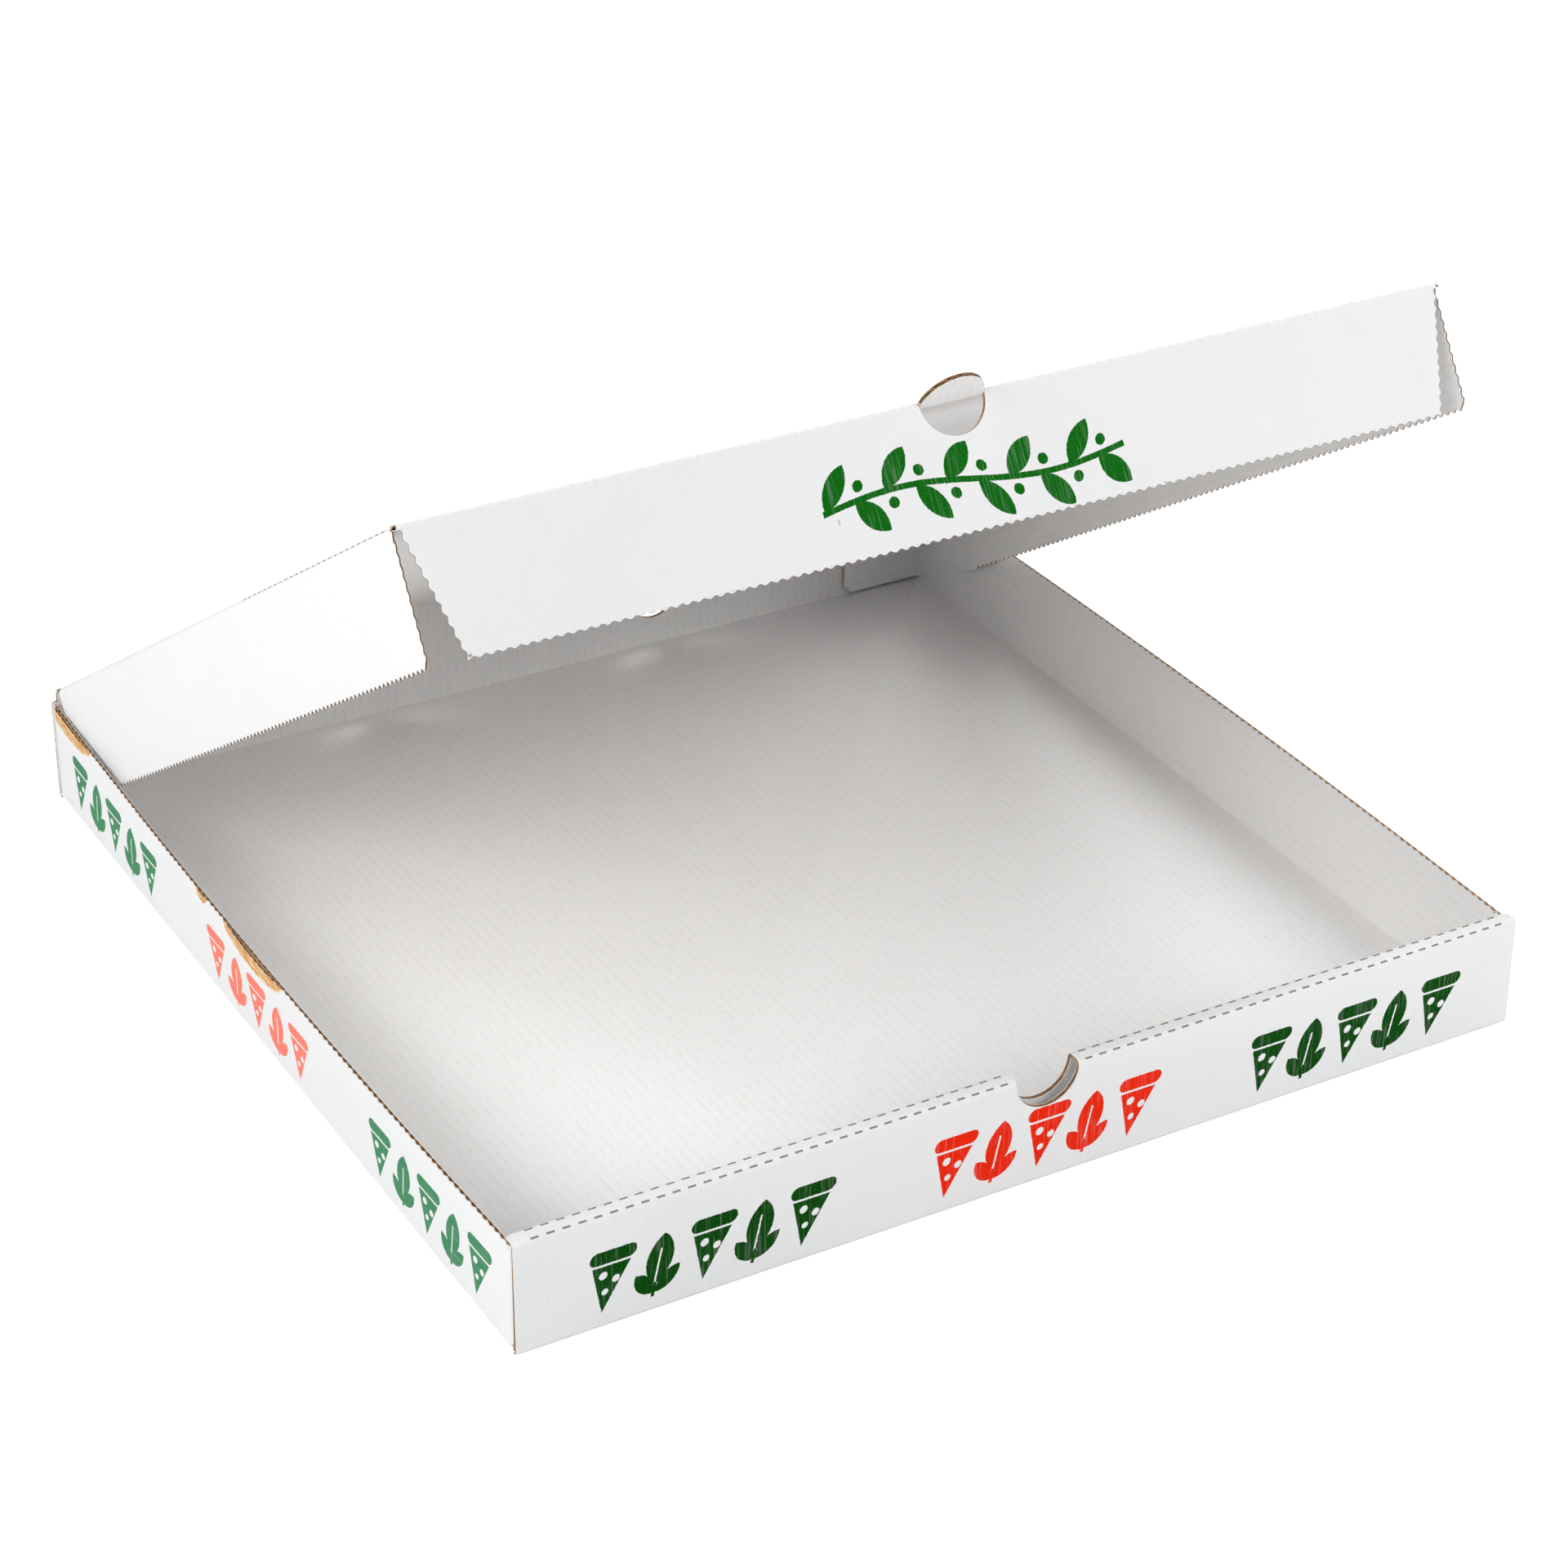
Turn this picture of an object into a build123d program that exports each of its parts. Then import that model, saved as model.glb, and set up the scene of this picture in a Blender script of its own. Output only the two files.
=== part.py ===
from build123d import *
import math
import os

os.makedirs("parts", exist_ok=True)

# Board and folds
board = 1.5
fold_radius = 1.2
slack = 0.2

# Tray
tray_width = 333.0
tray_depth = 341.0
front_wall_height = 37.0
ply_gap = 0.3
side_wall_height = front_wall_height - board - ply_gap
rolled_front_depth = 6.0
side_wall_bow = 3.0

# Corner flaps of the tray
front_tuck_length = 45.0
rear_tuck_length = 32.0
tuck_lift = 1.0

# Locking tabs of the rolled front wall
tab_width = 40.0
tab_spacing = 190.0

# Thumb notch and thumb tongue
notch_radius = 10.5
notch_drop = 1.0
tongue_radius = 10.0
tongue_lift = 28.0

# Vent holes of the rear wall
vent_diameter = 18.0
vent_height = 20.5
vent_spacing = 111.0

# Lid
lid_rise = 2.5
closed_height = front_wall_height + lid_rise
lid_gap = 0.45
floor_gap = 0.7
flap_drop = closed_height - board - floor_gap
swing_gap = 0.6
open_angle = 32.75
side_flap_round = 25.0
side_flap_nose = 3.0
front_flap_taper = 9.3
hole_gap = 0.3

# Crease beads that the panels turn on
bead_radius = 0.9
crease_gap = 0.5

# Wave-cut safety edge
wave_pitch = 3.3
wave_height = 0.7

# Derived places of the tray
half_width = tray_width / 2
front = -tray_depth / 2
back = tray_depth / 2
inner_ply_back = front + rolled_front_depth
inner_ply_front = inner_ply_back - board
side_front = front + board + slack
side_back = back - board - slack
tuck_back = side_back - board
wall_inside = half_width - board

# Derived places of the lid
hinge_y = back - board / 2
hinge_z = closed_height - board / 2
crease_clear = bead_radius + crease_gap
lid_width = 2 * (wall_inside - lid_gap)
half_lid = lid_width / 2
flap_reach = flap_drop - board / 2
swing_radius = hinge_y - inner_ply_back - swing_gap
lid_length = math.sqrt(swing_radius**2 - flap_reach**2) - board / 2
crease_y = hinge_y - lid_length
flap_bottom = closed_height - flap_drop
side_flap_front = crease_y + board / 2 + crease_gap
side_flap_back = tuck_back - crease_gap
front_flap_half = half_lid - board


def block(x_low, x_high, y_low, y_high, z_low, z_high):
    size = (x_high - x_low, y_high - y_low, z_high - z_low)
    middle = ((x_low + x_high) / 2, (y_low + y_high) / 2, (z_low + z_high) / 2)
    return Pos(*middle) * Box(*size)


def rod_across(radius, length, x, y, z):
    return Pos(x, y, z) * Rot(0, 90, 0) * Cylinder(radius, length)


def rod_through(radius, length, x, y, z):
    return Pos(x, y, z) * Rot(90, 0, 0) * Cylinder(radius, length)


def wavy(start, end):
    # The crests lie on the line from start to end, the troughs to its left
    run = math.dist(start, end)
    along = ((end[0] - start[0]) / run, (end[1] - start[1]) / run)
    inward = (-along[1], along[0])
    waves = max(2, round(run / wave_pitch))
    points = []
    for step in range(1, 4 * waves):
        travel = run * step / (4 * waves)
        depth = wave_height if step % 4 in (2, 3) else 0.0
        x = start[0] + along[0] * travel + inward[0] * depth
        y = start[1] + along[1] * travel + inward[1] * depth
        points.append((x, y))
    return points


# Rear wall, floor and rolled front wall, folded from one strip of the blank
rear_outside = (back, hinge_z)
rear_fold = (back, 0)
front_fold = (front, 0)
roll_front = (front, front_wall_height)
roll_back = (inner_ply_back, front_wall_height)
inner_foot_back = (inner_ply_back, board + slack)
inner_foot_front = (inner_ply_front, board + slack)
roll_under_back = (inner_ply_front, front_wall_height - board)
roll_under_front = (front + board, front_wall_height - board)
front_inside = (front + board, board)
rear_inside = (back - board, board)
rear_top = (back - board, hinge_z)
strip_line = Polyline(
    rear_outside,
    rear_fold,
    front_fold,
    roll_front,
    roll_back,
    inner_foot_back,
    inner_foot_front,
    roll_under_back,
    roll_under_front,
    front_inside,
    rear_inside,
    rear_top,
    close=True,
)
strip_face = make_face(strip_line)
outer_folds = [rear_fold, front_fold, roll_front, roll_back]
fold_corners = [v for v in strip_face.vertices() if min(math.dist((v.X, v.Y), p) for p in outer_folds) < 0.01]
strip_face = fillet(fold_corners, fold_radius)
strip_plane = Plane(origin=(-half_width, 0, 0), x_dir=(0, 1, 0), z_dir=(1, 0, 0))
tray = extrude(strip_plane * strip_face, tray_width)

# Narrower ends of the inner ply, and the lid-wide top of the rear wall
ply_top = front_wall_height - board
rear_shoulder = side_wall_height + slack
for side in (-1, 1):
    ply_low = min(side * (wall_inside - slack), side * (half_width + 1))
    ply_high = max(side * (wall_inside - slack), side * (half_width + 1))
    tray -= block(ply_low, ply_high, inner_ply_front - slack, inner_ply_back + 1, board, ply_top)
    top_low = min(side * half_lid, side * (half_width + 1))
    top_high = max(side * half_lid, side * (half_width + 1))
    tray -= block(top_low, top_high, back - 2 * board, back + 1, rear_shoulder, hinge_z + 1)

# Crease bead on top of the rear wall
tray += rod_across(bead_radius, lid_width, 0, hinge_y, hinge_z)

# Side wall that bows outward between its square ends
wall_length = side_back - side_front
wall_middle = (side_front + side_back) / 2
foot = Pos(half_width - board / 2, wall_middle) * Rectangle(board, wall_length)
outer_arc = ThreePointArc(
    (half_width, side_front), (half_width + side_wall_bow, wall_middle), (half_width, side_back)
)
inner_arc = ThreePointArc(
    (wall_inside, side_back), (wall_inside + side_wall_bow, wall_middle), (wall_inside, side_front)
)
rear_end = Line((half_width, side_back), (wall_inside, side_back))
front_end = Line((wall_inside, side_front), (half_width, side_front))
rim = make_face([outer_arc, rear_end, inner_arc, front_end])
side_wall = loft([foot.face(), Pos(0, 0, side_wall_height) * rim.face()], ruled=True)

# Corner flaps that turn inward from both ends of the side wall
tuck_foot = board + tuck_lift
tuck_top = side_wall_height - tuck_lift
front_tuck_end = wall_inside - front_tuck_length
rear_tuck_end = wall_inside - rear_tuck_length
front_tuck = block(front_tuck_end, half_width, side_front, side_front + board, tuck_foot, tuck_top)
rear_tuck = block(rear_tuck_end, half_width, tuck_back, side_back, tuck_foot, tuck_top)
side_wall += [front_tuck, rear_tuck]
tray += [side_wall, mirror(side_wall, Plane.YZ)]

# Rounded folds along the foot of the side walls
foot_edges = [e for e in tray.edges().filter_by(Axis.Y) if abs(e.center().Z) < 0.01]
foot_edges = [e for e in foot_edges if abs(abs(e.center().X) - half_width) < 0.01]
tray = fillet(foot_edges, fold_radius)

# Locking tabs of the inner ply, each in its slot in the floor
for side in (-1, 1):
    tab_x = side * tab_spacing / 2
    slot_half = tab_width / 2 + slack
    slot_front = inner_ply_front - slack
    slot_back = inner_ply_back + slack
    tray -= block(tab_x - slot_half, tab_x + slot_half, slot_front, slot_back, -1, board)
    tab_low = tab_x - tab_width / 2
    tab_high = tab_x + tab_width / 2
    tray += block(tab_low, tab_high, inner_ply_front, inner_ply_back, slack, board + 2 * slack)

# Thumb notch through the rolled front wall, and vent holes in the rear wall
notch_z = front_wall_height - notch_drop
tray -= rod_through(notch_radius, 4 * rolled_front_depth, 0, front + rolled_front_depth / 2, notch_z)
for side in (-1, 1):
    tray -= rod_through(vent_diameter / 2, 8 * board, side * vent_spacing / 2, hinge_y, vent_height)

# Lid panel, drawn closed, with a half-round thumb tongue that springs up from the crease
lid_bottom = closed_height - board
lid = block(-half_lid, half_lid, crease_y, hinge_y, lid_bottom, closed_height)
tongue = Cylinder(tongue_radius, board) & block(-tongue_radius, tongue_radius, -tongue_radius, 0, -board, board)
lid += Pos(0, crease_y, hinge_z) * Rot(-tongue_lift, 0, 0) * tongue
lid += rod_across(board / 2, 2 * tongue_radius, 0, crease_y, hinge_z)

# Side flaps with wave-cut edges and a large round at the rear
flap_plane = Plane(origin=(half_lid - board, 0, 0), x_dir=(0, 1, 0), z_dir=(1, 0, 0))
nose_top = (side_flap_front, flap_bottom + side_flap_nose)
nose_back = (side_flap_front + side_flap_nose, flap_bottom)
round_front = (side_flap_back - side_flap_round, flap_bottom)
round_top = (side_flap_back, flap_bottom + side_flap_round)
flap_top_front = (side_flap_front, closed_height)
flap_top_back = (side_flap_back, closed_height)
front_edge = wavy(flap_top_front, nose_top)
lower_edge = wavy(nose_back, round_front)
flap_round = RadiusArc(round_front, round_top, -side_flap_round)
flap_rest = Polyline(
    round_top,
    flap_top_back,
    flap_top_front,
    *front_edge,
    nose_top,
    nose_back,
    *lower_edge,
    round_front,
)
flap_face = make_face([flap_round, flap_rest])
side_flap = extrude(flap_plane * flap_face, board)
lid += [side_flap, mirror(side_flap, Plane.YZ)]
crease_edges = [e for e in lid.edges().filter_by(Axis.Y) if abs(e.center().Z - closed_height) < 0.01]
crease_edges = [e for e in crease_edges if abs(abs(e.center().X) - half_lid) < 0.01]
lid = fillet(crease_edges, fold_radius)

# Running room around the rear crease, and the bead of the front crease
lid -= rod_across(crease_clear, lid_width + 2, 0, hinge_y, hinge_z)
bead_start = tongue_radius + 2 * hole_gap
bead_length = front_flap_half - bead_start
bead_x = bead_start + bead_length / 2
for side in (-1, 1):
    lid += rod_across(bead_radius, bead_length, side * bead_x, crease_y, hinge_z)

# Front flap with slanted wave-cut ends and the hole the tongue came from
front_plane = Plane(origin=(0, crease_y + board / 2, 0), x_dir=(1, 0, 0), z_dir=(0, -1, 0))
flap_low = front_flap_half - front_flap_taper
left_foot = (-flap_low, flap_bottom)
right_foot = (flap_low, flap_bottom)
right_top = (front_flap_half, hinge_z)
left_top = (-front_flap_half, hinge_z)
front_flap_line = Polyline(
    left_foot,
    *wavy(left_foot, right_foot),
    right_foot,
    *wavy(right_foot, right_top),
    right_top,
    left_top,
    *wavy(left_top, left_foot),
    close=True,
)
front_flap = extrude(front_plane * make_face(front_flap_line), board)
front_flap -= rod_across(crease_clear, lid_width + 2, 0, crease_y, hinge_z)
front_flap -= rod_through(tongue_radius + hole_gap, 8 * board, 0, crease_y, hinge_z)

# The lid stands part open
hinge = Axis((0, hinge_y, hinge_z), (-1, 0, 0))
lid = lid.rotate(hinge, open_angle)
front_flap = front_flap.rotate(hinge, open_angle)

# Named pieces
tray.label = "tray"
lid.label = "lid"
front_flap.label = "lid_front_flap"
export_step(tray, "parts/tray.step")
export_step(lid, "parts/lid.step")
export_step(front_flap, "parts/lid_front_flap.step")
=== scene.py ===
# %% [markdown]
# # A pizza box, die-cut from one board and folded
#
# A pizza box is one flat sheet of thin corrugated board. A steel die cuts its
# outline, rules press the creases, and the shop folds it up with no glue. This
# script makes the box the same way: it builds the three-layer board, cuts it,
# creases it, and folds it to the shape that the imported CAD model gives.

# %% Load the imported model
import math

import bmesh
import bpy
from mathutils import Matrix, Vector, noise


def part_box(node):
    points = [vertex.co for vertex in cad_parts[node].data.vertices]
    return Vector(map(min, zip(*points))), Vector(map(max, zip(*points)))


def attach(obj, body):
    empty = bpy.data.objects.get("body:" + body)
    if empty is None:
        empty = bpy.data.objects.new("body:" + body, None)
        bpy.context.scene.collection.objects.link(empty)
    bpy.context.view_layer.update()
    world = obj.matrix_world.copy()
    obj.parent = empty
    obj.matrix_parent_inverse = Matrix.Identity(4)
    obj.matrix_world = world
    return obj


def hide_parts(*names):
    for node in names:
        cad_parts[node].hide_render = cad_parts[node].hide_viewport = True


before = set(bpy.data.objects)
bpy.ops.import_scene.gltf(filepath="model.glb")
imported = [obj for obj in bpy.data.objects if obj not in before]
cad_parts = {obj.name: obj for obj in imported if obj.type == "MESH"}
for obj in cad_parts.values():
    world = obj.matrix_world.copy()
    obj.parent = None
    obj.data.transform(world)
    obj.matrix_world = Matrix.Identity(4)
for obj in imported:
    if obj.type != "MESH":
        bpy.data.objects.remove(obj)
bpy.context.view_layer.update()

# %% [markdown]
# ## The camera
#
# The view is fitted to the corners of the real box: a long lens, a little
# above and to the left of the front corner. Setting the lens in millimetres
# and the turn in degrees keeps the numbers readable.

# %% Camera
camera_data = bpy.data.cameras.new("camera")
camera_data.sensor_width = 36
camera_data.lens = 89.71
camera = bpy.data.objects.new("camera", camera_data)
camera.location = (-0.5173, -0.9193, 0.6500)
camera.rotation_euler = [math.radians(turn) for turn in (60.12, -0.45, -29.68)]
bpy.context.scene.collection.objects.link(camera)
bpy.context.scene.camera = camera
print("Camera lens, mm:", camera_data.lens)

# %% [markdown]
# ## Sizes
#
# All lengths below are in millimetres and are the ones the box was drawn
# with. The flat sheet is laid out in them too, and only the last step of
# folding turns them into Blender's metres. Places are measured from the
# middle of the box and from the surface that it stands on.

# %% Sizes of the box
MM = 0.001
BOARD = 1.5
INNER_BEND = 0.3
BEND = BOARD + INNER_BEND
ARC = math.pi / 2 * (INNER_BEND + BOARD / 2)

HALF_WIDTH = 166.5
BACK = 170.5
SIDE_TOP = 35.2
FRONT_TOP = 37.0
ROLL_DEPTH = 6.0
SIDE_BOW = 3.0
SIDE_BACK = 168.8
WALL_INSIDE = 165.0

HINGE_Y, HINGE_Z = 169.75, 38.75
CLOSED_TOP = 39.5
HALF_LID = 164.55
CREASE_Y = -161.142
FLAP_BOTTOM = 2.2
FLAP_TOP_HALF = 163.05
FLAP_FOOT_HALF = 153.75
SIDE_FLAP_FRONT, SIDE_FLAP_BACK = -159.89, 166.8
OPEN_ANGLE = math.radians(32.75)
print("Flat length that one square fold takes up:", round(ARC, 3), "mm")

# %% [markdown]
# ## The board
#
# E-flute board has two paper liners with a wavy sheet, the fluting, glued
# between them. A solid plate would look like plastic at every cut edge, so the
# board here has all three sheets as closed shells. The waves run along v, so
# only u needs fine steps.

# %% A sheet of three-layer board
LINER = 0.22
FLUTING = 0.18
GLUE_LINE = 0.03
FLUTE_PITCH = 3.3
FLUTE_STEPS = 8
FIRST_STEP = 0.37


def flute_height(u):
    room = BOARD - 2 * LINER - FLUTING - 2 * GLUE_LINE
    return BOARD / 2 + room / 2 * math.cos(2 * math.pi * u / FLUTE_PITCH)


def add_shell(mesh, columns, v_low, v_high, bottom, top):
    """Adds a closed shell with one column of faces between each two values in columns."""
    rows = []
    for u in columns:
        corners = [(u, v_low, bottom(u)), (u, v_high, bottom(u)), (u, v_high, top(u)), (u, v_low, top(u))]
        rows.append([mesh.verts.new(corner) for corner in corners])
    mesh.faces.new(rows[0])
    mesh.faces.new(reversed(rows[-1]))
    for this, following in zip(rows, rows[1:]):
        for side in range(4):
            after = (side + 1) % 4
            mesh.faces.new((this[side], following[side], following[after], this[after]))


def board_sheet(u_half, v_low, v_high):
    """A rectangle of board: outer liner, fluting and inner liner."""
    mesh = bmesh.new()
    ends = [-u_half, u_half]
    add_shell(mesh, ends, v_low, v_high, lambda u: 0.0, lambda u: LINER)
    add_shell(mesh, ends, v_low, v_high, lambda u: BOARD - LINER, lambda u: BOARD)
    step = FLUTE_PITCH / FLUTE_STEPS
    count = math.ceil(2 * u_half / step)
    columns = [-u_half + step * (n + FIRST_STEP) for n in range(count)]
    under = lambda u: flute_height(u) - FLUTING / 2
    over = lambda u: flute_height(u) + FLUTING / 2
    add_shell(mesh, columns, v_low, v_high, under, over)
    bmesh.ops.recalc_face_normals(mesh, faces=mesh.faces)
    return mesh


print("Fluting wave height, mm:", round(flute_height(0) - flute_height(FLUTE_PITCH / 2), 2))

# %% [markdown]
# ## Cutting with a die
#
# A die is a steel outline pressed through the sheet. Here the die is a closed
# prism of that outline, and a Boolean modifier keeps what lies inside it. One
# cut goes through all three shells, so each cut edge shows liner, wave, liner.
# A score only dents the outer liner, and a tear goes just through it.

# %% Dies and cutting
SCORE_DEPTH = 0.17
TEAR_DEPTH = LINER + GLUE_LINE / 2
PAST_DIE, PAST_TOOL = 1.0, 2.0


def prism(name, loops, low, high):
    """Closed prisms over flat outlines, as one object."""
    mesh = bmesh.new()
    for loop in loops:
        floor_ring = [mesh.verts.new((u, v, low)) for u, v in loop]
        roof_ring = [mesh.verts.new((u, v, high)) for u, v in loop]
        mesh.faces.new(reversed(floor_ring))
        mesh.faces.new(roof_ring)
        for n in range(len(loop)):
            m = (n + 1) % len(loop)
            mesh.faces.new((floor_ring[n], floor_ring[m], roof_ring[m], roof_ring[n]))
    bmesh.ops.recalc_face_normals(mesh, faces=mesh.faces)
    return mesh_object(name, mesh)


def mesh_object(name, mesh):
    data = bpy.data.meshes.new(name)
    mesh.to_mesh(data)
    mesh.free()
    made = bpy.data.objects.new(name, data)
    bpy.context.scene.collection.objects.link(made)
    return made


def die_cut(name, sheet, outline, holes=(), scores=(), tears=()):
    """Cuts the sheet to its outline, and makes its holes, scores and tears."""
    board = mesh_object(name, sheet)
    tools = [("INTERSECT", prism(name + "_die", [outline], -PAST_DIE, BOARD + PAST_DIE))]
    for label, loops, depth in (
        ("_holes", holes, BOARD + PAST_TOOL),
        ("_scores", scores, SCORE_DEPTH),
        ("_tears", tears, TEAR_DEPTH),
    ):
        if loops:
            tools.append(("DIFFERENCE", prism(name + label, loops, -PAST_TOOL, depth)))
    for operation, tool in tools:
        cut = board.modifiers.new(operation, "BOOLEAN")
        cut.operation = operation
        cut.solver = "EXACT"
        cut.object = tool
    depsgraph = bpy.context.evaluated_depsgraph_get()
    result = bmesh.new()
    result.from_object(board, depsgraph)
    for made in [board] + [tool for _, tool in tools]:
        data = made.data
        bpy.data.objects.remove(made)
        bpy.data.meshes.remove(data)
    print(name, "after cutting:", len(result.faces), "faces")
    return result


# %% [markdown]
# ## Scoring and folding
#
# A fold needs edges where the board starts and stops bending, and a few
# between, so the mesh is split along those lines first. Then each point is
# rolled about the inside of its fold. Folds are done from the outermost
# inward, while everything nearer the middle is still flat.

# %% Scoring and folding
FOLD_STEPS = 4
NEAR, ON_LINE = 1e-4, 1e-5


def fold_lines(*starts):
    return [start + ARC * step / FOLD_STEPS for start in starts for step in range(FOLD_STEPS + 1)]


def extent(face, axis):
    along = [vert.co[axis] for vert in face.verts]
    return min(along), max(along)


def split_along(mesh, axis, positions, inside=lambda u, v: True):
    """Splits the faces inside a region along lines where u (axis 0) or v (axis 1) is constant."""
    normal = Vector((1, 0, 0)) if axis == 0 else Vector((0, 1, 0))
    ahead = {}
    for face in mesh.faces:
        middle = face.calc_center_median()
        if inside(middle.x, middle.y):
            ahead[face] = extent(face, axis)
    for position in sorted(positions):
        before, after = position - NEAR, position + NEAR
        crossed = [face for face, (low, high) in ahead.items() if low < before and high > after]
        edges = {edge for face in crossed for edge in face.edges}
        verts = {vert for face in crossed for vert in face.verts}
        geometry = crossed + list(edges) + list(verts)
        place = normal * position
        cut = bmesh.ops.bisect_plane(mesh, geom=geometry, dist=ON_LINE, plane_co=place, plane_no=normal)
        for face in cut["geom"]:
            if isinstance(face, bmesh.types.BMFace):
                ahead[face] = extent(face, axis)
        ahead = {face: span for face, span in ahead.items() if span[1] > after}


def bend(a, h, start, rolled_over=False):
    """Rolls a point through a square fold that begins at start.

    a runs outward, and h is the height above the outer face. A point of a wall that is
    already rolled over takes the whole fold, even where it comes back down near the start.
    """
    if a <= start and not rolled_over:
        return a, h
    past = 1.0 if rolled_over else min((a - start) / ARC, 1.0)
    turned = past * math.pi / 2
    rest = a - start - past * ARC
    radius = BEND - h
    across = start + math.sin(turned) * radius + math.cos(turned) * rest
    up = BEND - math.cos(turned) * radius + math.sin(turned) * rest
    return across, up


quarter = bend(ARC, 0.0, 0.0)
print("A bent outer face ends at:", [round(x, 3) for x in quarter])

# %% [markdown]
# ## The wave-cut edge
#
# Loose edges of the real box are cut in a small wave, so that the board can't
# cut a finger. It is a smooth curve, so it gets eight points to a wave.

# %% Wave-cut edges
WAVE_PITCH = 3.3
WAVE_DEPTH = 0.7


def wavy(start, end, height, steps=8):
    """Points from start to end. Crests lie on the line and the troughs to its left."""
    run = math.dist(start, end)
    along = ((end[0] - start[0]) / run, (end[1] - start[1]) / run)
    waves = max(2, round(run / WAVE_PITCH))
    points = []
    for n in range(1, steps * waves):
        travel = run * n / (steps * waves)
        depth = height / 2 * (1 - math.cos(2 * math.pi * n / steps))
        u = start[0] + along[0] * travel - along[1] * depth
        v = start[1] + along[1] * travel + along[0] * depth
        points.append((u, v))
    return points


def arc(centre, radius, start, end, steps):
    """Points on an arc, from start to end in degrees."""
    turns = [math.radians(start + (end - start) * n / steps) for n in range(steps + 1)]
    return [(centre[0] + radius * math.cos(t), centre[1] + radius * math.sin(t)) for t in turns]


def mirrored(points):
    """The same points on the other side of the middle, in the order that closes the loop."""
    return [(-u, v) for u, v in reversed(points)]


one_wave = wavy((0, 0), (2 * WAVE_PITCH, 0), WAVE_DEPTH)
print("Deepest trough of the wave, mm:", round(max(v for u, v in one_wave), 2))

# %% [markdown]
# ## Crushed edges
#
# The die's blade squeezes thin board as it cuts, so a cut edge is thinner than
# the panel behind it and its brown middle nearly closes. Here the layers are
# drawn together over the last two millimetres. They are squeezed before the
# board is folded, while "up" still means through the board, and all by one
# share, so that they don't cross.

# %% Crushed edges
CRUSH_REACH = 2.0
CRUSH_SHARE = 0.35


def crushed(h, inside, at_edge=CRUSH_SHARE):
    """The height of a point in the board, by its distance inside the nearest crushed edge."""
    share = min(max(inside - WAVE_DEPTH, 0.0) / (CRUSH_REACH - WAVE_DEPTH), 1.0)
    return BOARD / 2 + (h - BOARD / 2) * (at_edge + (1 - at_edge) * share)


print("Board at a crushed edge, mm:", round(crushed(BOARD, 0.0) - crushed(0.0, 0.0), 2))

# %% [markdown]
# ## The tray, flat
#
# u runs across the box and v from front to rear. The front wall is long,
# because it folds up, over and down again, and ends in two locking tabs. The
# side walls carry corner flaps, cut free from the front and rear walls by
# slits. Half of the outline is drawn and mirrored.

# %% Tray outline
SIDE_FOLD = HALF_WIDTH - BEND
END_FOLD = BACK - BEND
TUCK_FOLD = SIDE_BACK - BEND
ROLL_FOLD = END_FOLD + ARC + FRONT_TOP - 2 * BEND
DROP_FOLD = ROLL_FOLD + ARC + ROLL_DEPTH - 2 * BEND
GAP = 0.2
PLY_HALF = WALL_INSIDE - GAP
PLY_FOOT, TAB_FOOT = 1.7, 0.2
TAB_HALF, TAB_MIDDLE, TAB_CORNER = 20.0, 95.0, 1
TUCK_LOW, TUCK_HIGH, TUCK_CORNER = 2.5, 34.2, 3
FRONT_TUCK_END, REAR_TUCK_END = 120.0, 133.0
SHOULDER = 35.4
SIDE_WAVE_DEPTH = 0.35
RELIEF = 0.1


def side_u(z):
    """How far out on the flat sheet a point of a side wall lies, by its height once folded."""
    return SIDE_FOLD + ARC + z - BEND


def end_a(z):
    """The same for the rear wall and the outer ply of the front wall."""
    return END_FOLD + ARC + z - BEND


def inner_ply_a(z):
    """The same for the inner ply of the front wall, which hangs down."""
    return DROP_FOLD + ARC + FRONT_TOP - BEND - z


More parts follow.
